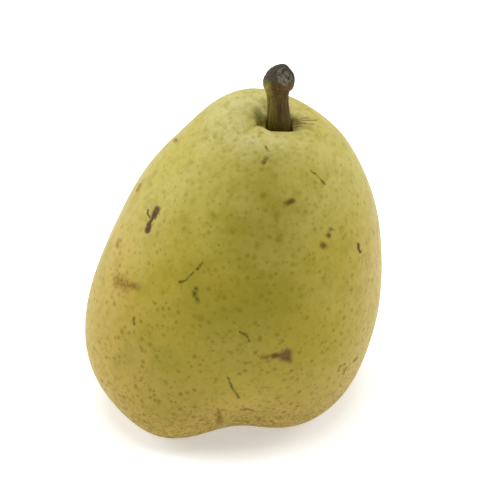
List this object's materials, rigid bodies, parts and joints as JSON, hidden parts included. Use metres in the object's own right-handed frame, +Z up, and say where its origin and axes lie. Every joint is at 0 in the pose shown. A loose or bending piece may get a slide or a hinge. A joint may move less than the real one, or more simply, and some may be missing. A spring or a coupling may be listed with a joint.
{
  "type": "pear",
  "caption": "Short, lopsided fresh pear with a thick woody stem and a dried calyx in its base hollow. It stands on the low lobes of its base.",
  "frame": {"origin": "on the surface that the pear stands on, under the centre of the whole pear's bounding box", "axes": "+Z up through the pear towards its stem; +X towards the side that it leans to; -Y towards the viewer in the picture"},
  "size_m": [0.0832, 0.0792, 0.1049],
  "materials": {
    "skin": "satin, slightly waxy fruit skin",
    "bark": "dry fibrous bark",
    "dry_sepals": "matt, dried"
  },
  "bodies": {
    "root": {"fruit": "skin", "stem": "bark", "calyx": "dry_sepals"}
  },
  "joints": []
}
